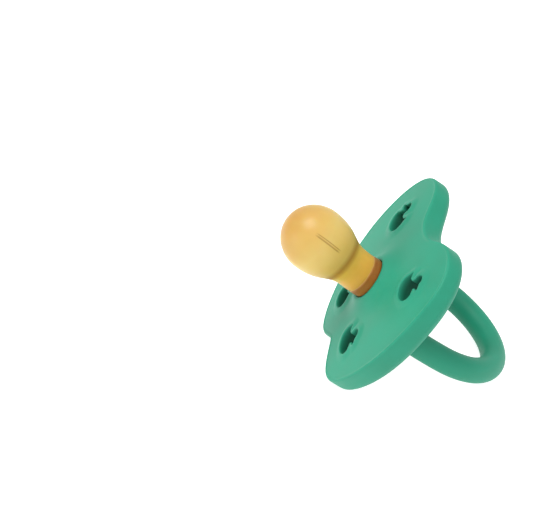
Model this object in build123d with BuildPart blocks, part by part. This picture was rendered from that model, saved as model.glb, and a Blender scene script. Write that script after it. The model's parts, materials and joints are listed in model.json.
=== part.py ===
from build123d import *
from math import asin, cos, degrees, radians, sin, sqrt
import os

os.makedirs("parts", exist_ok=True)

# A soothing pacifier of soft rubber, standing on its two chin lobes and the tip of its ring.
# Millimetres, +Z up. The mirror plane is X = 0, the teat points to -Y and up, and the ring
# trails to +Y. The origin is on the floor, under the middle of the object.
#
# Inside a piece, x is across the face, y runs from the chin notch to the nose notch, and
# "out" is the direction from the shield towards the mouth. The datum is the shield's centre.

# ---- shield ----
nose_notch = 17.85  # datum to the bottom of the notch, along y
nose_notch_radius = 13.9
nose_notch_half_angle = 22.0
chin_notch = 18.85
chin_notch_radius = 3.0
chin_notch_half_angle = 30.0
wing_points = [  # the right wing, between the ends of the two notch arcs
    (10.3, 21.55),
    (16.5, 23.05),
    (24.4, 19.95),
    (28.9, 8.05),
    (27.2, -4.95),
    (21.1, -15.65),
    (15.4, -20.65),
    (10.1, -22.25),
]
back_depth = 7.2  # datum to the flat back face
back_round = 3.0  # radius all round the back edge
dome_rise = 0.5  # top of the shallow front dome, over the datum
dome_across = 286.0  # the dome's radius along x
dome_along = 150.0  # and along y
collar_rise = 2.2  # top of the collar round the teat, over the datum
collar_radius = 5.9
collar_flare = 13.0  # where the collar's concave flank runs out into the dome
collar_foot = -0.2  # height of the flank's foot over the datum, just under the dome
collar_root = -3.0  # bottom of the collar's body, buried in the shield
chin_lobe_reach = 22.25  # datum to the lowest point of a chin lobe, along y

# ---- duck vents ----
upper_duck = (15.9, 11.0, 4.0)  # middle, and the degrees that the beak dips
lower_duck = (10.2, -11.0, 12.0)
duck_body = (3.85, 2.5)  # half length and half height
duck_body_drop = 1.4  # duck's middle to the middle of its body
duck_head = (1.15, 2.35)
duck_head_radius = 1.6
duck_beak = [(2.2, 3.1), (3.9, 1.8), (2.3, 0.9)]
duck_tail = [(-3.8, -1.0), (-3.5, 0.6), (-2.9, 1.7)]  # rump up to the tip of the tail
duck_saddle = [(-2.9, 1.7), (-2.0, 0.9), (-0.8, 0.7)]  # tip of the tail down to the back

# ---- ring ----
ring_tube_radius = 3.05
ring_arc_radius = 17.4  # centre line of the round end
ring_leg_radius = 72.0  # the legs curve in very slightly towards the roots
ring_length = 34.6  # datum to the centre line at the tip
ring_hinge_depth = 9.4  # datum to the axis that the roots bend about
ring_rise = 2.4  # degrees that the ring leans to the nose side
root_clearance = 0.15

# ---- teat ----
neck_radius = 5.0
neck_length = 4.7  # top of the collar to the start of the bulb
bulb_radius = 7.95
bulb_centre = 16.4  # top of the collar to the widest section
bulb_cap = 8.4  # widest section to the tip
wall = 1.5
teat_hinge_rise = 2.5  # top of the collar to the axis that the neck bends about
teat_rise = 4.8  # degrees that the teat leans to the nose side
seat_clearance = 0.15

# ---- teat anchor ----
anchor_radius = 4.9
anchor_step = -2.4  # where the anchor widens into its flange
flange_radius = 6.4
flange_thickness = 1.5
tail_radius = 3.35
tail_hole_radius = 3.5
anchor_gap = 0.02  # moulded fit between the anchor and the shield


# ---- rest pose ----
# The chin lobes touch the floor on their rounded back edge, and the ring on its tip.
def lobe_depth(lean):
    """Distance from the datum down to the chin lobes' lowest point."""
    reach = chin_lobe_reach - back_round
    depth = back_depth - back_round
    return reach * cos(lean) + depth * sin(lean) + back_round


ring_root = ring_length - ring_hinge_depth  # hinge axis to the tip, along the ring


def ring_depth(lean):
    """Distance from the datum down to the lowest point of the ring's tip."""
    slope = lean - radians(ring_rise)
    return ring_hinge_depth * sin(lean) + ring_root * sin(slope) + ring_tube_radius


low, high = radians(10), radians(60)
for _ in range(40):
    lean = (low + high) / 2
    if ring_depth(lean) < lobe_depth(lean):
        low = lean
    else:
        high = lean

datum_height = lobe_depth(lean)
teat_slope = lean + radians(teat_rise)
ring_slope = lean - radians(ring_rise)

# Half of the overall length lies on each side of the origin.
hinge_out = collar_rise + teat_hinge_rise
bulb_out = bulb_centre - teat_hinge_rise
bulb_half_y = sqrt((bulb_cap * cos(teat_slope)) ** 2 + (bulb_radius * sin(teat_slope)) ** 2)
front_reach = hinge_out * cos(lean) + bulb_out * cos(teat_slope) + bulb_half_y
back_reach = ring_hinge_depth * cos(lean) + ring_root * cos(ring_slope) + ring_tube_radius
datum_y = (front_reach - back_reach) / 2


def facing(out, up, slope, distance=0.0):
    """A plane square to the mirror plane. Its normal is out or up, turned by the slope, and
    its origin lies at a distance out from the datum."""
    centre_y = datum_y - distance * cos(lean)
    centre_z = datum_height + distance * sin(lean)
    normal = (0, -out * cos(slope) + up * sin(slope), out * sin(slope) + up * cos(slope))
    return Plane(origin=(0, centre_y, centre_z), x_dir=(1, 0, 0), z_dir=normal)


face = facing(1, 0, lean)  # the shield's datum plane, looking out of its front
section = facing(0, -1, lean)  # holds x and the out direction, for turned profiles
out_axis = Axis(face.origin, face.z_dir)

teat_section = facing(0, -1, teat_slope, hinge_out)
teat_axis = Axis(teat_section.origin, teat_section.y_dir)

ring_face = facing(0, -1, ring_slope, -ring_hinge_depth)


def duck(side):
    """Outline of one vent: a swimming duck that looks to the outside."""
    beak = [(side * x, y) for x, y in duck_beak]
    tail = [(side * x, y) for x, y in duck_tail]
    saddle = [(side * x, y) for x, y in duck_saddle]
    with BuildSketch() as outline:
        with Locations((0, -duck_body_drop)):
            Ellipse(*duck_body)
        with Locations((side * duck_head[0], duck_head[1])):
            Circle(duck_head_radius)
        with BuildLine():
            Polyline(*beak, close=True)
        make_face()
        with BuildLine():
            Spline(*tail)
            Spline(*saddle)
            Line(saddle[-1], tail[0])
        make_face()
    return outline.sketch


# ---- shield: one moulding with four vents and the collar that holds the teat ----
rim = 33.0  # past the farthest point of the outline
dome_edge = dome_rise - dome_across + sqrt(dome_across**2 - rim**2)
below = -back_depth - 3.0
dome_axis = Axis(face.offset(dome_rise - dome_along).origin, (1, 0, 0))
with BuildPart() as shield:
    with BuildSketch(face.offset(-back_depth)):
        with BuildLine():
            nose = CenterArc(
                (0, nose_notch + nose_notch_radius),
                nose_notch_radius,
                -90 - nose_notch_half_angle,
                2 * nose_notch_half_angle,
            )
            chin = CenterArc(
                (0, -chin_notch - chin_notch_radius),
                chin_notch_radius,
                90 - chin_notch_half_angle,
                2 * chin_notch_half_angle,
            )
            wing = Spline(
                nose @ 1,
                *wing_points,
                chin @ 0,
                tangents=[nose % 1, chin % 0],
                tangent_scalars=(1, 1),
            )
            mirror(wing, about=Plane.YZ)
        make_face()
    extrude(amount=back_depth + dome_rise)
    with BuildSketch(section):
        with BuildLine():
            Polyline((-rim, dome_edge), (-rim, below), (rim, below), (rim, dome_edge))
            ThreePointArc((rim, dome_edge), (0, dome_rise), (-rim, dome_edge))
        make_face()
    revolve(axis=dome_axis, mode=Mode.INTERSECT)
    back_face = shield.faces().sort_by(out_axis)[0]
    fillet(back_face.edges(), back_round)

    with BuildSketch(section):
        with BuildLine():
            foot = Polyline(
                (collar_radius, collar_rise),
                (0, collar_rise),
                (0, collar_root),
                (collar_flare, collar_root),
                (collar_flare, collar_foot),
            )
            Spline(
                foot @ 1,
                (collar_radius + 0.6, collar_rise - 0.45),
                foot @ 0,
                tangents=[(-1, 0.1), (-0.5, 1)],
            )
        make_face()
    revolve(axis=out_axis)

    with BuildSketch(face.offset(-back_depth)):
        for side in (-1, 1):
            for x, y, dip in (upper_duck, lower_duck):
                with Locations((side * x, y)):
                    add(duck(side), rotation=-side * dip)
    extrude(amount=back_depth + collar_rise, mode=Mode.SUBTRACT)

    flange_back = anchor_step - flange_thickness
    for radius, start, end in (
        (anchor_radius, collar_rise, anchor_step),
        (flange_radius, anchor_step, flange_back),
        (tail_hole_radius, flange_back, -back_depth),
    ):
        with BuildSketch(face.offset(end)):
            Circle(radius)
        extrude(amount=start - end, mode=Mode.SUBTRACT)

    leg_drop = ring_length - ring_arc_radius - ring_hinge_depth
    root_x = ring_arc_radius - ring_leg_radius + sqrt(ring_leg_radius**2 - leg_drop**2)
    root_plane = face.offset(-ring_hinge_depth)
    for side in (-1, 1):
        with Locations(root_plane.from_local_coords(Vector(side * root_x, 0, 0))):
            Sphere(ring_tube_radius + root_clearance, mode=Mode.SUBTRACT)

shield.part.label = "shield"
export_step(shield.part, "parts/shield.step")


# ---- handle_ring: round bar bent to a loop, with a rounded end in each root ----
leg_turn = degrees(asin(leg_drop / ring_leg_radius))
with BuildPart() as handle_ring:
    with BuildLine(ring_face) as loop:
        leg_centre = ring_leg_radius - ring_arc_radius
        CenterArc((leg_centre, -leg_drop), ring_leg_radius, 180 - leg_turn, leg_turn)
        CenterArc((0, -leg_drop), ring_arc_radius, 180, 180)
        CenterArc((-leg_centre, -leg_drop), ring_leg_radius, 0, leg_turn)
    with BuildSketch(Plane(origin=loop.line @ 0, z_dir=loop.line % 0)):
        Circle(ring_tube_radius)
    sweep(path=loop.line)
    for end in (loop.line @ 0, loop.line @ 1):
        with Locations(end):
            Sphere(ring_tube_radius)

handle_ring.part.label = "handle_ring"
export_step(handle_ring.part, "parts/handle_ring.step")


# ---- teat: hollow bulb and neck, ending in a rounded foot that sits in the collar ----
neck_end = neck_length - teat_hinge_rise


def bulb_profile(inset):
    """Half section of the bulb, from the neck to the tip, moved in by a wall thickness."""
    neck = neck_radius - inset
    bulb = bulb_radius - inset
    cap = bulb_cap - inset
    shoulder = ((neck + bulb) / 2, (neck_end + bulb_out) / 2 - 0.9)
    Spline((neck, neck_end), shoulder, (bulb, bulb_out), tangents=[(0, 1), (0, 1)])
    cheek = (bulb * sin(radians(45)), bulb_out + cap * sin(radians(45)))
    Spline((bulb, bulb_out), cheek, (0, bulb_out + cap), tangents=[(0, 1), (-1, 0)])


canal = neck_radius - wall
open_end = -neck_radius - 1  # just below the foot, so that the canal is open
with BuildPart() as teat:
    with BuildSketch(teat_section):
        with BuildLine():
            CenterArc((0, 0), neck_radius, -90, 90)
            Line((neck_radius, 0), (neck_radius, neck_end))
            bulb_profile(0)
            Line((0, bulb_out + bulb_cap), (0, -neck_radius))
        make_face()
    revolve(axis=teat_axis)
    with BuildSketch(teat_section):
        with BuildLine():
            Polyline((0, open_end), (canal, open_end), (canal, neck_end))
            bulb_profile(wall)
            Line((0, bulb_out + bulb_cap - wall), (0, open_end))
        make_face()
    revolve(axis=teat_axis, mode=Mode.SUBTRACT)

teat.part.label = "teat"
export_step(teat.part, "parts/teat.step")


# ---- teat_anchor: the teat's solid root, locked in the shield by its flange ----
anchor_top = collar_rise - 0.2
with BuildPart() as teat_anchor:
    for radius, start, end in (
        (anchor_radius - anchor_gap, anchor_top, anchor_step - anchor_gap),
        (flange_radius - anchor_gap, anchor_step - anchor_gap, flange_back + anchor_gap),
        (tail_radius, flange_back + anchor_gap, -back_depth),
    ):
        with BuildSketch(face.offset(end)):
            Circle(radius)
        extrude(amount=start - end)
    with Locations(face.offset(hinge_out).origin):
        Sphere(neck_radius + seat_clearance, mode=Mode.SUBTRACT)

teat_anchor.part.label = "teat_anchor"
export_step(teat_anchor.part, "parts/teat_anchor.step")


# ---- where the pieces bend and how far the object reaches ----
print("lean", round(degrees(lean), 3))
print("datum", [round(v, 4) for v in face.origin])
print("ring hinge", [round(v, 4) for v in ring_face.origin])
print("teat hinge", [round(v, 4) for v in teat_section.origin])
print("ring root x", round(root_x, 3))
print("length", round(front_reach + back_reach, 3))
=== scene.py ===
import json
import math

import bmesh
import bpy
import numpy as np
from mathutils import Euler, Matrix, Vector
from mathutils.geometry import delaunay_2d_cdt


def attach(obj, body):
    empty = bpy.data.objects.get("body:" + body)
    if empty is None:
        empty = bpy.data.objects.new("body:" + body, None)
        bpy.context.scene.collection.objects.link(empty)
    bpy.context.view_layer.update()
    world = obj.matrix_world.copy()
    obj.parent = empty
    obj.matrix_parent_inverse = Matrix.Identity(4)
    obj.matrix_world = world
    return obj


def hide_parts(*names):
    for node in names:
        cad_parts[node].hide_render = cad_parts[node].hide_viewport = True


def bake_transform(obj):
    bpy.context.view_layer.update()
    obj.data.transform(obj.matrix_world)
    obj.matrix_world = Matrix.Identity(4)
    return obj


# A soft rubber pacifier. Every piece is shaped in millimetres, mostly in the shield's own axes,
# and then placed: x across the face, y from chin to nose, "out" from the shield to the mouth.

MM = 0.001

# ---- shield ----
NOSE_NOTCH = (31.75, 13.9, 22)  # centre along y, radius, half angle of the arc
CHIN_NOTCH = (-21.85, 3.0, 30)
WING = [(10.3, 21.55), (16.5, 23.05), (24.4, 19.95), (28.9, 8.05), (27.2, -4.95),
        (21.1, -15.65), (15.4, -20.65), (10.1, -22.25)]
BACK_DEPTH = 7.2
BACK_ROUND = (4.2, 2.8, 2.2)  # width, depth and fullness of the rounded back edge
DOME_RISE = 0.5
DOME_RADII = (286.0, 150.0)  # along x and along y
COLLAR_RISE = 2.2
COLLAR_RADIUS = 5.9
COLLAR_FLARE = 13.0
COLLAR_HOLLOW = 2.8  # power of the collar's concave flank
COLLAR_LIP = 0.45  # radius on the collar's inner edge
EDGE_ROUND = 0.35  # radius on the front edge
RIDGE = 0.12  # height of the fine moulding ridge on the front edge
RIDGE_PLACE = (0.45, 0.5)  # distance in from the edge, half width
LIP_HEIGHT = 0.42  # raised rim round each vent
LIP_WIDTH = 2.3
VENT_ROUND = 0.3
VENT_STEPS = (0.07, 0.17, 0.32, 0.55, 0.85)  # rows of points round each vent
TAIL_ROUND = 0.25  # radius on the edge of the hole in the back

# ---- vents: a duck swimming to the right, round its middle ----
DUCKS = [(15.9, 11.0, 4.0), (10.2, -11.0, 12.0)]  # middle, and degrees that the beak dips
DUCK = [(-3.0, 1.65), (-3.55, 0.5), (-3.85, -0.9), (-3.45, -2.4), (-2.2, -3.45), (-0.3, -3.88),
        (1.7, -3.6), (3.1, -2.7), (3.8, -1.4), (3.5, -0.2), (2.6, 0.6), (2.45, 1.15),
        (3.2, 1.4), (3.85, 1.8), (3.3, 2.35), (2.65, 2.75), (2.3, 3.4), (1.3, 3.95),
        (0.2, 3.65), (-0.45, 2.6), (-0.3, 1.5), (-0.9, 0.8), (-2.0, 0.8), (-2.6, 1.2)]

# ---- ring ----
RING_HINGE_DEPTH = 9.4
RING_TUBE = 3.05
RING_ARC = 17.4
RING_LEG = 72.0
RING_LENGTH = 34.6
RING_RISE = math.radians(2.4)
ROOT_FILLET = 2.7
ROOT_OUTER = RING_TUBE + ROOT_FILLET + 0.1  # just outside the fillet
ROOT_START = 2.6  # how far the ring's ends reach into the fillets, before the hinge
ROOT_SPLAY = 0.12  # how far the ends lean outwards, per millimetre

# ---- teat ----
TEAT_RISE = math.radians(4.8)
TEAT_HINGE = 2.5  # over the top of the collar
NECK = 5.0
NECK_LENGTH = 4.7
BULB = 7.95
BULB_CENTRE = 16.4
BULB_CAP = 8.4
SHOULDER = (1.085, 1.69)  # how strongly the curve leaves the neck and arrives at the bulb
WALL = 1.5
BAND_TOP = 2.2 - TEAT_HINGE  # the neck is solid up to here, over the hinge axis
SHADED_FOLD = 6.2  # over the hinge axis: soft fold where the bulb's thin wall begins, darkened there with painted shade
SEAM = (math.radians(30), 10.2, 16.8)  # fine moulding seam: angle from +x to the nose, start, end

# ---- anchor ----
ANCHOR = 4.85
FLANGE = (6.35, -2.45, -3.85)  # radius, front, back
TAIL = 3.3
TAIL_HOLE = 3.5
PLAY = 0.03  # between the anchor and the hole that holds it

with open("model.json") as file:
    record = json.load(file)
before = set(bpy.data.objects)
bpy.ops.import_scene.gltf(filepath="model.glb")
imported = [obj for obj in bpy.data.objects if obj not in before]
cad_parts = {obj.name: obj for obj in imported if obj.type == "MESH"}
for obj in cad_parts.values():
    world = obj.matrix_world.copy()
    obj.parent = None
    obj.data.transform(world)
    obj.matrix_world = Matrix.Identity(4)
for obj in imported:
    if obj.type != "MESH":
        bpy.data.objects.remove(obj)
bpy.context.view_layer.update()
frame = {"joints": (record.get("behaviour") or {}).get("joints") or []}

pivots = {joint["name"]: Vector(joint["pos_m"]) for joint in frame["joints"]}
OUT = (pivots["teat_flex"] - pivots["ring_flex"]).normalized()
DATUM = pivots["ring_flex"] + OUT * RING_HINGE_DEPTH * MM


def nose_side(out):
    """The direction square to out, from the chin to the nose."""
    return Vector((0, out.z, -out.y))


def turned(out, angle):
    """The out direction turned towards the nose side."""
    return out * math.cos(angle) + nose_side(out) * math.sin(angle)


def place(points, origin=DATUM, out=OUT):
    """Turns local (x, y, out) millimetres into places in the row frame."""
    axes = np.array([(1, 0, 0), nose_side(out), out])
    return np.array(origin) + np.array(points, float) @ axes * MM


# ---- curves in the face's plane ----
def closed_curve(points, spacing):
    """Smooth closed curve through the points, sampled at an even spacing."""
    points = np.array(points, float)
    count = len(points)
    after = np.roll(points, -1, 0)
    span = np.linalg.norm(after - points, axis=1)
    before = np.roll(span, 1)
    system = np.zeros((count, count))
    for i in range(count):
        system[i, i - 1] += 1 / before[i]
        system[i, i] += 2 / before[i] + 2 / span[i]
        system[i, (i + 1) % count] += 1 / span[i]
    rise = (after - points) / span[:, None] ** 2
    tangents = np.linalg.solve(system, 3 * (rise + np.roll(rise, 1, 0)))
    t = np.linspace(0, 1, 40, endpoint=False)[None, :, None]
    start, end = points[:, None], after[:, None]
    leave = (tangents * span[:, None])[:, None]
    arrive = (np.roll(tangents, -1, 0) * span[:, None])[:, None]
    dense = (
        (2 * t**3 - 3 * t**2 + 1) * start
        + (t**3 - 2 * t**2 + t) * leave
        + (3 * t**2 - 2 * t**3) * end
        + (t**3 - t**2) * arrive
    ).reshape(-1, 2)
    return even(dense, spacing)


def even(loop, spacing):
    """The closed loop, sampled again at an even spacing."""
    ring = np.vstack([loop, loop[:1]])
    length = np.r_[0, np.cumsum(np.linalg.norm(np.diff(ring, axis=0), axis=1))]
    count = max(12, round(length[-1] / spacing))
    at = np.linspace(0, length[-1], count, endpoint=False)
    return np.stack([np.interp(at, length, ring[:, k]) for k in (0, 1)], axis=1)


def arc(centre, radius, middle, half, count):
    """Points on an arc round (0, centre)."""
    angles = np.radians(np.linspace(middle - half, middle + half, count))
    return [(radius * math.cos(a), centre + radius * math.sin(a)) for a in angles]


def circle(radius, count, x=0.0, y=0.0):
    """Points on a circle."""
    a = np.linspace(0, 2 * math.pi, count, endpoint=False)
    return np.stack([x + radius * np.cos(a), y + radius * np.sin(a)], axis=1)


def distance(points, loop):
    """Distance from each point to a closed loop."""
    start, side = loop, np.roll(loop, -1, 0) - loop
    length = (side**2).sum(1)
    best = np.full(len(points), 1e9)
    for block in range(0, len(points), 2000):
        q = points[block : block + 2000, None] - start[None]
        t = np.clip((q * side).sum(2) / length, 0, 1)
        gap = q - t[..., None] * side
        best[block : block + 2000] = np.sqrt((gap**2).sum(2).min(1))
    return best


def inside(points, loop):
    """Which points lie inside a closed loop."""
    found = np.zeros(len(points), bool)
    for (ax, ay), (bx, by) in zip(loop, np.roll(loop, -1, 0)):
        crosses = (ay > points[:, 1]) != (by > points[:, 1])
        if ay != by:
            found ^= crosses & (points[:, 0] < (bx - ax) * (points[:, 1] - ay) / (by - ay) + ax)
    return found


def beside(loop, offset):
    """Points beside a counter-clockwise loop: inward for a positive offset, else outward."""
    ahead = np.roll(loop, -1, 0) - np.roll(loop, 1, 0)
    ahead /= np.linalg.norm(ahead, axis=1)[:, None]
    moved = loop + offset * np.stack([-ahead[:, 1], ahead[:, 0]], axis=1)
    return moved[distance(moved, loop) > abs(offset) * 0.97]


# ---- heights over the face's plane ----
right_wing = (
    arc(NOSE_NOTCH[0], NOSE_NOTCH[1], -90, NOSE_NOTCH[2], 5)[2:]
    + WING
    + arc(CHIN_NOTCH[0], CHIN_NOTCH[1], 90, CHIN_NOTCH[2], 5)[:3]
)
left_wing = [(-x, y) for x, y in reversed(right_wing[1:-1])]
OUTLINE = closed_curve((right_wing + left_wing)[::-1], 0.45)
VENTS = []
for duck_x, duck_y, dip in DUCKS:
    c, s = math.cos(math.radians(dip)), math.sin(math.radians(dip))
    shape = closed_curve(DUCK, 0.22) @ np.array([(c, -s), (s, c)])
    VENTS.append(shape + (duck_x, duck_y))
    VENTS.append((shape * (-1, 1))[::-1] + (-duck_x, duck_y))

LEG_DROP = RING_LENGTH - RING_ARC - RING_HINGE_DEPTH
ROOT_X = RING_ARC - RING_LEG + math.sqrt(RING_LEG**2 - LEG_DROP**2)


def smooth(t):
    """Smooth step from 0 to 1."""
    t = np.clip(t, 0, 1)
    return t * t * (3 - 2 * t)


def rounding(gap, radius):
    """How far a rounded edge falls below its face, at a gap from the edge."""
    inner = np.clip(radius - gap, 0, radius)
    return radius - np.sqrt(radius**2 - inner**2)


def front(points, to_rim, to_vent):
    """Height of the front face."""
    r = np.linalg.norm(points, axis=1)
    height = DOME_RISE - (points**2 / (2 * np.array(DOME_RADII))).sum(1)
    flank = np.clip((COLLAR_FLARE - r) / (COLLAR_FLARE - COLLAR_RADIUS), 0, 1)
    height += (COLLAR_RISE - DOME_RISE + 0.1) * flank**COLLAR_HOLLOW
    height = np.minimum(height, COLLAR_RISE - rounding(r - NECK, COLLAR_LIP))
    lip = smooth(1 - to_vent / LIP_WIDTH)
    height += LIP_HEIGHT * lip - rounding(to_vent, VENT_ROUND)
    ridge_at, ridge_width = RIDGE_PLACE
    ridge = smooth(1 - np.abs(to_rim - ridge_at) / ridge_width)
    height += RIDGE * ridge - rounding(to_rim, EDGE_ROUND)
    return height


def back(points, to_rim, to_vent):
    """Height of the back face."""
    width, depth, fullness = BACK_ROUND
    inner = np.clip(1 - to_rim / width, 0, 1)
    height = depth * (1 - (1 - inner**fullness) ** (1 / fullness)) - BACK_DEPTH
    height += rounding(to_vent, VENT_ROUND)
    r = np.linalg.norm(points, axis=1)
    height += rounding(r - TAIL_HOLE, TAIL_ROUND)
    for side in (-1, 1):
        root = np.linalg.norm(points - (side * ROOT_X, 0), axis=1) - RING_TUBE + 0.05
        height -= rounding(root, ROOT_FILLET)
    return height


# ---- meshes ----
def new_object(name, vertices, faces):
    """A smooth-shaded object with outward normals."""
    mesh = bpy.data.meshes.new(name)
    mesh.from_pydata([tuple(v) for v in vertices], [], [tuple(f) for f in faces])
    tidy = bmesh.new()
    tidy.from_mesh(mesh)
    bmesh.ops.remove_doubles(tidy, verts=tidy.verts, dist=1e-7)
    bmesh.ops.recalc_face_normals(tidy, faces=tidy.faces)
    tidy.to_mesh(mesh)
    tidy.free()
    mesh.polygons.foreach_set("use_smooth", [True] * len(mesh.polygons))
    thing = bpy.data.objects.new(name, mesh)
    bpy.context.scene.collection.objects.link(thing)
    return thing


def stamp(thing, name, values):
    """Stores one number per vertex, for the material to read."""
    layer = thing.data.attributes.new(name, "FLOAT", "POINT")
    layer.data.foreach_set("value", np.array(values, np.float32))


def local(thing, origin, out):
    """The object's vertices as local (x, y, out) millimetres."""
    axes = np.array([(1, 0, 0), nose_side(out), out])
    places = np.array([tuple(v.co) for v in thing.data.vertices])
    return (places - np.array(origin)) @ axes.T / MM


def sheet_points(hole, rim_rings, extra):
    """Points that fill the face between its loops, closer together where it curves more.
    The extra ones go round the ring's roots, on the back only."""
    cloud = [beside(OUTLINE, gap) for gap in rim_rings]
    cloud += [beside(vent, -gap) for vent in VENTS for gap in VENT_STEPS]
    cloud += extra
    placed = np.vstack(cloud)
    width, height = np.abs(OUTLINE).max(0)
    for step, near in ((0.38, True), (0.75, False)):
        columns = np.arange(-width, width, step)
        rows = np.arange(-height, height, step * 0.866)
        x, y = np.meshgrid(columns, rows)
        x = x + (np.arange(len(rows)) % 2)[:, None] * step / 2
        grid = np.stack([x.ravel(), y.ravel()], axis=1)
        grid = grid[inside(grid, OUTLINE)]
        to_vent = np.min([distance(grid, vent) for vent in VENTS], axis=0)
        r = np.linalg.norm(grid, axis=1)
        fine = (to_vent < LIP_WIDTH + 0.4) | (r < COLLAR_FLARE * 0.75)
        grid = grid[fine if near else ~fine]
        grid = grid[distance(grid, OUTLINE) > max(rim_rings) + step * 0.5]
        to_vent = np.min([distance(grid, vent) for vent in VENTS], axis=0)
        to_hole = np.abs(np.linalg.norm(grid, axis=1) - hole)
        grid = grid[(to_vent > 1.05) & (to_hole > step * 0.6)]
        if extra:
            for side in (-1, 1):
                grid = grid[np.linalg.norm(grid - (side * ROOT_X, 0), axis=1) > ROOT_OUTER]
        placed = np.vstack([placed, grid])
    return placed


def face_sheet(hole_loop, cloud, height):
    """Triangles between the outline, the vents and the centre hole, lifted by a height."""
    loops = [OUTLINE, *VENTS, hole_loop]
    for loop in VENTS + [hole_loop]:
        cloud = cloud[~inside(cloud, loop)]
    cloud = cloud[inside(cloud, OUTLINE)]
    points, edges = [], []
    for loop in loops:
        first, count = len(points), len(loop)
        points += [tuple(p) for p in loop]
        edges += [(first + i, first + (i + 1) % count) for i in range(count)]
    points += [tuple(p) for p in cloud]
    flat, _, triangles, origin, _, _ = delaunay_2d_cdt(
        [Vector(p) for p in points], edges, [], 0, 1e-6)
    flat = np.array([tuple(p) for p in flat])
    middle = np.array([flat[list(t)].mean(0) for t in triangles])
    keep = inside(middle, OUTLINE)
    for loop in VENTS + [hole_loop]:
        keep &= ~inside(middle, loop)
    triangles = [t for t, k in zip(triangles, keep) if k]
    place_of = {source: new for new, sources in enumerate(origin) for source in sources}
    to_rim = distance(flat, OUTLINE)
    to_vent = np.min([distance(flat, vent) for vent in VENTS], axis=0)
    lifted = np.c_[flat, height(flat, to_rim, to_vent)]
    indices, at = [], 0
    for loop in loops:
        indices.append([place_of[at + i] for i in range(len(loop))])
        at += len(loop)
    return lifted, triangles, indices


def bridge(vertices, faces, front_loop, back_loop, rows):
    """Quads from a loop on the front to the same loop on the back, through rows of points."""
    count = len(front_loop)
    last = front_loop
    for row in rows:
        start = len(vertices)
        vertices.extend(row)
        fresh = list(range(start, start + count))
        faces.extend(strip(last, fresh))
        last = fresh
    faces.extend(strip(last, back_loop))


def strip(a, b):
    """Quads between two closed loops of indices."""
    count = len(a)
    return [(a[i], a[(i + 1) % count], b[(i + 1) % count], b[i]) for i in range(count)]


def make_shield():
    """The butterfly shield: domed front, rounded back, four vents with soft lips, and the
    hollow collar that holds the teat."""
    hole_count = 96
    front_hole = circle(NECK, hole_count)
    back_hole = circle(TAIL_HOLE, hole_count)
    arc_gaps = [BACK_ROUND[0] * (1 - math.cos(math.radians(a))) for a in range(9, 91, 5)]
    front_gaps = [0.06, 0.14, 0.24, 0.36, 0.5, 0.65, 0.85, 1.1, 1.5]
    collar = [circle(NECK + g, hole_count) for g in (0.1, 0.22, 0.36, 0.55, 0.8, 1.1)]
    roots = [
        circle(RING_TUBE - 0.05 + ROOT_FILLET * (1 - math.cos(math.radians(a))), 72, s * ROOT_X)
        for s in (-1, 1)
        for a in (0, 15, 25, 35, 45, 55, 65, 75, 90)
    ]
    roots += [circle(RING_TUBE * k, 24, s * ROOT_X) for s in (-1, 1) for k in (0.3, 0.65)]
    back_rim = [circle(TAIL_HOLE + g, hole_count) for g in (0.08, 0.18, 0.32, 0.6)]

    cloud = sheet_points(NECK + 1.1, front_gaps, [])
    top, top_faces, top_loops = face_sheet(front_hole, np.vstack([cloud] + collar), front)
    cloud = sheet_points(TAIL_HOLE + 0.6, arc_gaps, roots)
    low, low_faces, low_loops = face_sheet(back_hole, np.vstack([cloud] + back_rim), back)

    vertices = [tuple(v) for v in top] + [tuple(v) for v in low]
    shift = len(top)
    faces = [tuple(t) for t in top_faces] + [tuple(i + shift for i in t) for t in low_faces]
    low_loops = [[i + shift for i in loop] for loop in low_loops]
    *walls, hole = zip(top_loops, low_loops)
    for k, (top_loop, low_loop) in enumerate(walls):
        a = np.array([vertices[i] for i in top_loop])
        b = np.array([vertices[i] for i in low_loop])
        steps = 3 if k == 0 else 8
        rows = [[tuple(p) for p in a + (b - a) * t / steps] for t in range(1, steps)]
        bridge(vertices, faces, top_loop, low_loop, rows)
    seat = (
        (NECK, 0.2),
        (ANCHOR + 0.05, 0.0),
        (ANCHOR + 0.05, FLANGE[1] + PLAY),
        (FLANGE[0] + PLAY, FLANGE[1] + PLAY),
        (FLANGE[0] + PLAY, FLANGE[2] - PLAY),
        (TAIL_HOLE, FLANGE[2] - PLAY),
    )
    rows = [[(x, y, z) for x, y in circle(r, hole_count)] for r, z in seat]
    bridge(vertices, faces, *hole, rows)
    skin = new_object("shield_skin", place(vertices), faces)
    at = local(skin, DATUM, OUT)
    to_vent = np.min([distance(at[:, :2], vent) for vent in VENTS], axis=0)
    # Painted shade inside the vents: the walls get a darker colour away from both faces, strongest
    # in the middle of their depth.
    painted_vent_shade = smooth((0.4 - at[:, 2]) / 2.2) * smooth((at[:, 2] + BACK_DEPTH - 0.2) / 1.2)
    stamp(skin, "painted_vent_shade", painted_vent_shade * (to_vent < 0.02))
    return skin


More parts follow.
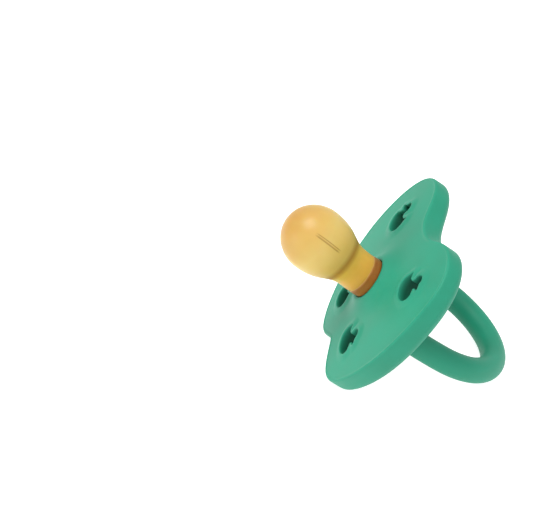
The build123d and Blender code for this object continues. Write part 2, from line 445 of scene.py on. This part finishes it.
def make_ring():
    """The loop: a round bar along two slightly curved legs and a half circle, with round ends."""
    out = turned(OUT, -RING_RISE)
    turn = math.asin(LEG_DROP / RING_LEG)
    leg = [
        (RING_ARC - RING_LEG + RING_LEG * math.cos(a), -LEG_DROP + RING_LEG * math.sin(a))
        for a in np.linspace(turn, 0, 24, endpoint=False)
    ]
    bend = [
        (RING_ARC * math.cos(a), -LEG_DROP - RING_ARC * math.sin(a))
        for a in np.linspace(0, math.pi, 110)
    ]
    start_x, start_out = leg[0]
    lead = [
        (start_x - ROOT_SPLAY * k, start_out + k)
        for k in np.linspace(ROOT_START, 0, 7, endpoint=False)
    ]
    right = lead + leg
    path = np.array(right + bend + [(-x, y) for x, y in reversed(right)])
    ahead = np.gradient(path, axis=0)
    ahead /= np.linalg.norm(ahead, axis=1)[:, None]
    sides = 48
    angles = np.linspace(0, 2 * math.pi, sides, endpoint=False)
    cap = [
        (RING_TUBE * math.sin(a), RING_TUBE * 0.5 * math.cos(a))
        for a in np.radians((20, 40, 60, 75))
    ]
    sections = [(path[0], ahead[0], radius, -along) for radius, along in cap]
    sections += [(p, d, RING_TUBE, 0.0) for p, d in zip(path, ahead)]
    sections += [(path[-1], ahead[-1], radius, along) for radius, along in reversed(cap)]
    vertices, faces = [], []
    for p, d, radius, along in sections:
        across = np.array((d[1], -d[0]))
        for a in angles:
            x, o = p + d * along + across * radius * math.cos(a)
            vertices.append((x, radius * math.sin(a), o))
    for k in range(len(sections) - 1):
        first = list(range(k * sides, (k + 1) * sides))
        faces += strip(first, [i + sides for i in first])
    faces.append(tuple(range(sides)))
    faces.append(tuple(range(len(vertices) - sides, len(vertices))))
    return new_object("ring_skin", place(vertices, pivots["ring_flex"], out), faces)


def turned_piece(name, profile, origin, out, sides=96):
    """A closed piece turned from a profile of (radius, height) points that starts and ends on
    the axis."""
    angles = np.linspace(0, 2 * math.pi, sides, endpoint=False)
    vertices, faces, loops = [], [], []
    for radius, height in profile:
        if radius < 1e-6:
            loops.append([len(vertices)])
            vertices.append((0, 0, height))
        else:
            loops.append(list(range(len(vertices), len(vertices) + sides)))
            vertices += [(radius * math.cos(a), radius * math.sin(a), height) for a in angles]
    for a, b in zip(loops, loops[1:]):
        if len(a) == 1:
            faces += [(a[0], b[i], b[(i + 1) % sides]) for i in range(sides)]
        elif len(b) == 1:
            faces += [(a[i], a[(i + 1) % sides], b[0]) for i in range(sides)]
        else:
            faces += strip(a, b)
    return new_object(name, place(vertices, origin, out), faces)


def hermite(a, b, leave, arrive, count):
    """Points on a smooth curve from a to b."""
    t = np.linspace(0, 1, count)[:, None]
    a, b, leave, arrive = (np.array(v, float) for v in (a, b, leave, arrive))
    return (
        (2 * t**3 - 3 * t**2 + 1) * a
        + (t**3 - 2 * t**2 + t) * leave
        + (3 * t**2 - 2 * t**3) * b
        + (t**3 - t**2) * arrive
    )


def bulb_points(inset):
    """Profile from the neck's end over the bulb to the tip."""
    neck, bulb, cap = NECK - inset, BULB - inset, BULB_CAP - inset
    neck_end = NECK_LENGTH - TEAT_HINGE
    centre = BULB_CENTRE - TEAT_HINGE
    rise = centre - neck_end
    leave, arrive = ((0, rise * factor) for factor in SHOULDER)
    shoulder = hermite((neck, neck_end), (bulb, centre), leave, arrive, 34)
    angles = np.linspace(0, math.pi / 2, 30)[1:]
    tip = [(bulb * math.cos(a), centre + cap * math.sin(a)) for a in angles]
    return [tuple(p) for p in shoulder] + tip


def make_teat():
    """The hollow teat. Its neck is solid for a short way above the collar, and stands straight
    in the collar before it leans."""
    base = -TEAT_HINGE - 0.5
    outer = [(0, base), (NECK - 0.5, base), (NECK - 0.15, base + 0.12), (NECK - 0.02, base + 0.5)]
    neck_end = NECK_LENGTH - TEAT_HINGE
    for height in np.linspace(base + 0.9, neck_end, 26, endpoint=False):
        groove = 0.05 * math.exp(-(((height - BAND_TOP) / 0.16) ** 2))
        band = 0.06 * float(smooth((BAND_TOP - height) / 0.3))
        outer.append((NECK - 0.03 + band - groove, height))
    canal = NECK - WALL
    inner = [(0, BAND_TOP - 0.4), (canal - 0.9, BAND_TOP - 0.2), (canal - 0.2, BAND_TOP + 0.3)]
    inner += [(canal, h) for h in np.linspace(BAND_TOP + 0.9, neck_end, 8, endpoint=False)]
    profile = outer + bulb_points(0)
    profile[-1] = (0, profile[-1][1])
    hollow = inner + bulb_points(WALL)
    hollow[-1] = (0, hollow[-1][1])
    out = turned(OUT, TEAT_RISE)
    skin = turned_piece("teat_skin", profile, pivots["teat_flex"], out, 128)
    core = turned_piece("teat_core", hollow, pivots["teat_flex"], out, 96)
    core.data.flip_normals()
    joined = bmesh.new()
    joined.from_mesh(skin.data)
    joined.from_mesh(core.data)
    joined.to_mesh(skin.data)
    joined.free()
    skin.data.polygons.foreach_set("use_smooth", [True] * len(skin.data.polygons))
    bpy.data.objects.remove(core)
    at = local(skin, pivots["teat_flex"], out)
    lean = smooth((at[:, 2:] + TEAT_HINGE) / 4.5)
    upright, leaning = (place(at, pivots["teat_flex"], axis) for axis in (OUT, out))
    skin.data.vertices.foreach_set("co", (upright * (1 - lean) + leaning * lean).ravel())
    turn = np.arctan2(at[:, 1], at[:, 0]) - SEAM[0]
    stamp(skin, "along", at[:, 2])
    stamp(skin, "around", np.abs((turn + math.pi) % (2 * math.pi) - math.pi))
    return skin


def make_anchor():
    """The teat's root: a plug with a locking flange and the round tail that shows at the back."""
    front_end = COLLAR_RISE - 0.65
    profile = [
        (0, front_end),
        (ANCHOR - 0.3, front_end),
        (ANCHOR, front_end - 0.3),
        (ANCHOR, FLANGE[1]),
        (FLANGE[0] - 0.2, FLANGE[1]),
        (FLANGE[0], FLANGE[1] - 0.2),
        (FLANGE[0], FLANGE[2] + 0.2),
        (FLANGE[0] - 0.2, FLANGE[2]),
        (TAIL, FLANGE[2]),
        (TAIL, -BACK_DEPTH + 0.45),
        (TAIL - 0.06, -BACK_DEPTH + 0.25),
        (TAIL - 0.2, -BACK_DEPTH + 0.1),
        (TAIL - 0.42, -BACK_DEPTH + 0.05),
        (TAIL * 0.6, -BACK_DEPTH + 0.02),
        (TAIL * 0.3, -BACK_DEPTH + 0.005),
        (0, -BACK_DEPTH),
    ]
    return turned_piece("anchor_skin", profile, DATUM, OUT, 72)


# ---- materials ----
def node_material(name):
    """An empty node material with its shader."""
    material = bpy.data.materials.new(name)
    material.use_nodes = True
    tree = material.node_tree
    tree.nodes.clear()
    output = tree.nodes.new("ShaderNodeOutputMaterial")
    shader = tree.nodes.new("ShaderNodeBsdfPrincipled")
    tree.links.new(shader.outputs["BSDF"], output.inputs["Surface"])
    return material, tree, shader


def noise(tree, scale, detail, roughness=0.5):
    """Noise over the object, in metres."""
    place_node = tree.nodes.new("ShaderNodeTexCoord")
    texture = tree.nodes.new("ShaderNodeTexNoise")
    texture.inputs["Scale"].default_value = scale
    texture.inputs["Detail"].default_value = detail
    texture.inputs["Roughness"].default_value = roughness
    tree.links.new(place_node.outputs["Object"], texture.inputs["Vector"])
    return texture


def ramp(tree, source, stops):
    """Colour ramp from a list of (position, colour)."""
    node = tree.nodes.new("ShaderNodeValToRGB")
    while len(node.color_ramp.elements) < len(stops):
        node.color_ramp.elements.new(0.5)
    for element, (position, colour) in zip(node.color_ramp.elements, stops):
        element.position = position
        element.color = (*colour, 1)
    tree.links.new(source, node.inputs["Fac"])
    return node


def spread(tree, source, low, high, to_low, to_high):
    """Maps a value from one range to another."""
    node = tree.nodes.new("ShaderNodeMapRange")
    ends = (("From Min", low), ("From Max", high), ("To Min", to_low), ("To Max", to_high))
    for key, value in ends:
        node.inputs[key].default_value = value
    tree.links.new(source, node.inputs["Value"])
    return node


def mixed(tree, source, colour, other):
    """A colour that turns into another one as a value goes from 0 to 1."""
    node = tree.nodes.new("ShaderNodeMix")
    node.data_type = "RGBA"
    node.inputs[7].default_value = (*other, 1)
    tree.links.new(source, node.inputs[0])
    tree.links.new(colour, node.inputs[6])
    return node.outputs[2]


def stamped(tree, name, low, high):
    """A number stored in the mesh, brought from its range to 0..1."""
    node = tree.nodes.new("ShaderNodeAttribute")
    node.attribute_name = name
    return spread(tree, node.outputs["Fac"], low, high, 0, 1).outputs["Result"]


def bumps(tree, shader, source, strength, height):
    """Surface relief from a value."""
    node = tree.nodes.new("ShaderNodeBump")
    node.inputs["Strength"].default_value = strength
    node.inputs["Distance"].default_value = height
    tree.links.new(source, node.inputs["Height"])
    tree.links.new(node.outputs["Normal"], shader.inputs["Normal"])


def green_rubber():
    """Opaque sea-green natural rubber: satin, with a faint cloudiness and a fine grain, and
    painted shade that darkens the walls inside the vents."""
    material, tree, shader = node_material("green_rubber")
    cloud = noise(tree, 90, 3)
    tint = ramp(tree, cloud.outputs["Fac"], [
        (0.3, (0.008, 0.210, 0.123)),
        (0.7, (0.012, 0.240, 0.145)),
    ])
    # Painted shade: the vent walls are mixed towards a near-black green.
    painted_vent_shade = tree.nodes.new("ShaderNodeAttribute")
    painted_vent_shade.attribute_name = "painted_vent_shade"
    shade = mixed(tree, painted_vent_shade.outputs["Fac"], tint.outputs["Color"], (0.0015, 0.075, 0.040))
    tree.links.new(shade, shader.inputs["Base Color"])
    rough = spread(tree, cloud.outputs["Fac"], 0.3, 0.7, 0.5, 0.6)
    tree.links.new(rough.outputs["Result"], shader.inputs["Roughness"])
    grain = noise(tree, 2600, 4, 0.6)
    bumps(tree, shader, grain.outputs["Fac"], 0.25, 0.00003)
    shader.inputs["Subsurface Weight"].default_value = 0.12
    shader.inputs["Subsurface Radius"].default_value = (0.3, 1.0, 0.7)
    shader.inputs["Subsurface Scale"].default_value = 0.0012
    shader.inputs["IOR"].default_value = 1.5
    shader.inputs["Specular IOR Level"].default_value = 0.3
    return material


def amber_rubber():
    """Translucent amber natural rubber: pale gold in the thin bulb, deeper in the neck, brown where
    the neck is solid, with a fine moulding seam. The neck is also painted lighter, to make up for
    the shade that the bulb and collar cast on it, and painted shade darkens the soft fold where the
    bulb begins."""
    material, tree, shader = node_material("amber_rubber")
    low, high = -3.0, 23.0  # the teat's reach along its axis, round the hinge

    def at(height):
        return (height - low) / (high - low)

    along = ramp(tree, stamped(tree, "along", low, high), [
        (at(BAND_TOP - 0.5), (0.38, 0.125, 0.017)),
        (at(BAND_TOP - 0.12), (0.48, 0.180, 0.026)),
        (at(BAND_TOP), (0.84, 0.52, 0.16)),
        # Painted light: from just over the band up to the fold, the neck is lighter than the
        # rubber's own colour, to make up for the shade that the bulb and collar cast on it.
        (at(BAND_TOP + 0.15), (0.86, 0.46, 0.065)),
        (at(SHADED_FOLD - 1.5), (0.94, 0.62, 0.100)),
        # Painted shade: this dark stop darkens the soft fold where the bulb begins.
        (at(SHADED_FOLD), (0.56, 0.27, 0.036)),
        (at(SHADED_FOLD + 1.4), (0.84, 0.60, 0.145)),
        (at(14), (0.80, 0.61, 0.180)),
        (at(22), (0.62, 0.37, 0.090)),
    ])
    cloud = noise(tree, 150, 3)
    cloudy = spread(tree, cloud.outputs["Fac"], 0.35, 0.75, 0.0, 0.28)
    tinted = mixed(tree, cloudy.outputs["Result"], along.outputs["Color"], (0.66, 0.34, 0.06))
    beside_seam = ramp(tree, stamped(tree, "around", 0, 0.1), [
        (0.0, (0.15, 0.15, 0.15)),
        (0.2, (0.1, 0.1, 0.1)),
        (0.32, (0.75, 0.75, 0.75)),
        (0.45, (0.7, 0.7, 0.7)),
        (0.6, (0, 0, 0)),
    ])
    reach = ramp(tree, stamped(tree, "along", low, high), [
        (at(SEAM[1] - 0.5), (0, 0, 0)),
        (at(SEAM[1] + 0.5), (1, 1, 1)),
        (at(SEAM[2] - 0.5), (1, 1, 1)),
        (at(SEAM[2] + 0.5), (0, 0, 0)),
    ])
    seam = tree.nodes.new("ShaderNodeMath")
    seam.operation = "MULTIPLY"
    tree.links.new(beside_seam.outputs["Color"], seam.inputs[0])
    tree.links.new(reach.outputs["Color"], seam.inputs[1])
    lined = mixed(tree, seam.outputs["Value"], tinted, (0.36, 0.17, 0.025))
    tree.links.new(lined, shader.inputs["Base Color"])
    rough = spread(tree, cloud.outputs["Fac"], 0.3, 0.7, 0.3, 0.38)
    tree.links.new(rough.outputs["Result"], shader.inputs["Roughness"])
    grain = noise(tree, 900, 3, 0.6)
    bumps(tree, shader, grain.outputs["Fac"], 0.15, 0.00003)
    shader.inputs["Transmission Weight"].default_value = 0.35
    shader.inputs["Subsurface Weight"].default_value = 0.3
    shader.inputs["Specular IOR Level"].default_value = 0.3
    shader.inputs["Subsurface Radius"].default_value = (1.0, 0.5, 0.12)
    shader.inputs["Subsurface Scale"].default_value = 0.0012
    shader.inputs["IOR"].default_value = 1.4
    soak = tree.nodes.new("ShaderNodeVolumeAbsorption")
    soak.inputs["Color"].default_value = (0.88, 0.62, 0.10, 1)
    soak.inputs["Density"].default_value = 450
    tree.links.new(soak.outputs["Volume"], tree.nodes["Material Output"].inputs["Volume"])
    return material


def root_rubber():
    """The same rubber in the thick root, where hardly any light comes through."""
    material, tree, shader = node_material("root_rubber")
    cloud = noise(tree, 160, 3)
    tint = ramp(tree, cloud.outputs["Fac"], [(0.3, (0.52, 0.24, 0.030)), (0.7, (0.64, 0.32, 0.05))])
    tree.links.new(tint.outputs["Color"], shader.inputs["Base Color"])
    rough = spread(tree, cloud.outputs["Fac"], 0.3, 0.7, 0.35, 0.45)
    tree.links.new(rough.outputs["Result"], shader.inputs["Roughness"])
    grain = noise(tree, 1400, 3, 0.6)
    bumps(tree, shader, grain.outputs["Fac"], 0.2, 0.00003)
    shader.inputs["Subsurface Weight"].default_value = 0.3
    shader.inputs["Subsurface Radius"].default_value = (1.0, 0.5, 0.12)
    shader.inputs["Subsurface Scale"].default_value = 0.002
    return material


def white_floor():
    """Bright white floor, lit through like a light table, with a faint unevenness."""
    material, tree, shader = node_material("floor_paint")
    cloud = noise(tree, 4, 2)
    tint = ramp(tree, cloud.outputs["Fac"], [(0.3, (0.53, 0.53, 0.53)), (0.7, (0.56, 0.56, 0.56))])
    tree.links.new(tint.outputs["Color"], shader.inputs["Base Color"])
    shader.inputs["Emission Color"].default_value = (1, 1, 1, 1)
    shader.inputs["Emission Strength"].default_value = 0.85
    shader.inputs["Roughness"].default_value = 0.9
    return material


# ---- stage, light and camera ----
def make_floor():
    """A large pale floor under the object."""
    size = 2.0
    corners = [(-size, -size, 0), (size, -size, 0), (size, size, 0), (-size, size, 0)]
    floor = new_object("floor", corners, [(0, 1, 2, 3)])
    floor.data.materials.append(white_floor())


def make_camera():
    """A long lens at the side of the object, looking down and tilted a little."""
    view = Vector((0.863596, -0.019122, 0.503823))
    aim = Vector((0, -30.601, 24.970)) * MM
    distance_to_aim = 0.42528
    roll = math.radians(2.437)
    data = bpy.data.cameras.new("camera")
    data.lens = 122.56
    data.sensor_width = 36
    data.clip_start = 0.01
    data.clip_end = 20
    camera = bpy.data.objects.new("camera", data)
    camera.location = aim + view * distance_to_aim
    turn = (-view).to_track_quat("-Z", "Y")
    camera.rotation_mode = "QUATERNION"
    camera.rotation_quaternion = turn @ Euler((0, 0, roll)).to_quaternion()
    bpy.context.scene.collection.objects.link(camera)
    bpy.context.scene.camera = camera


LAMP_TARGET = Vector((0, 0, 0.02))
LAMP_DISTANCE = 0.6


def make_light(name, direction, size, power):
    """A soft square lamp that shines on the object from a direction."""
    data = bpy.data.lights.new(name, "AREA")
    data.size = size
    data.energy = power
    lamp = bpy.data.objects.new(name, data)
    direction = Vector(direction).normalized()
    lamp.location = LAMP_TARGET + direction * LAMP_DISTANCE
    lamp.rotation_mode = "QUATERNION"
    lamp.rotation_quaternion = (-direction).to_track_quat("-Z", "Y")
    bpy.context.scene.collection.objects.link(lamp)


def make_world(strength):
    """Even white surroundings."""
    world = bpy.data.worlds.new("surroundings")
    world.use_nodes = True
    backdrop = world.node_tree.nodes["Background"]
    backdrop.inputs["Color"].default_value = (1, 1, 1, 1)
    backdrop.inputs["Strength"].default_value = strength
    bpy.context.scene.world = world


green = green_rubber()
amber = amber_rubber()
root_amber = root_rubber()

shield = make_shield()
shield.data.materials.append(green)
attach(shield, "shield")
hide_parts("shield")

ring = make_ring()
ring.data.materials.append(green)
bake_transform(ring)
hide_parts("handle_ring")

teat = make_teat()
teat.data.materials.append(amber)
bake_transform(teat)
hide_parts("teat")

anchor = make_anchor()
anchor.data.materials.append(root_amber)
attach(anchor, "shield")
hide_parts("teat_anchor")

make_floor()
make_camera()
make_world(0.82)
make_light("key", (0.2, -0.45, 1.5), 0.35, 3.0)
make_light("left", (0.367, -0.923, 0.1), 0.25, 0.7)
make_light("fill", (0.9, 0.8, 0.9), 0.5, 0.6)
bpy.context.scene.view_settings.view_transform = "Standard"
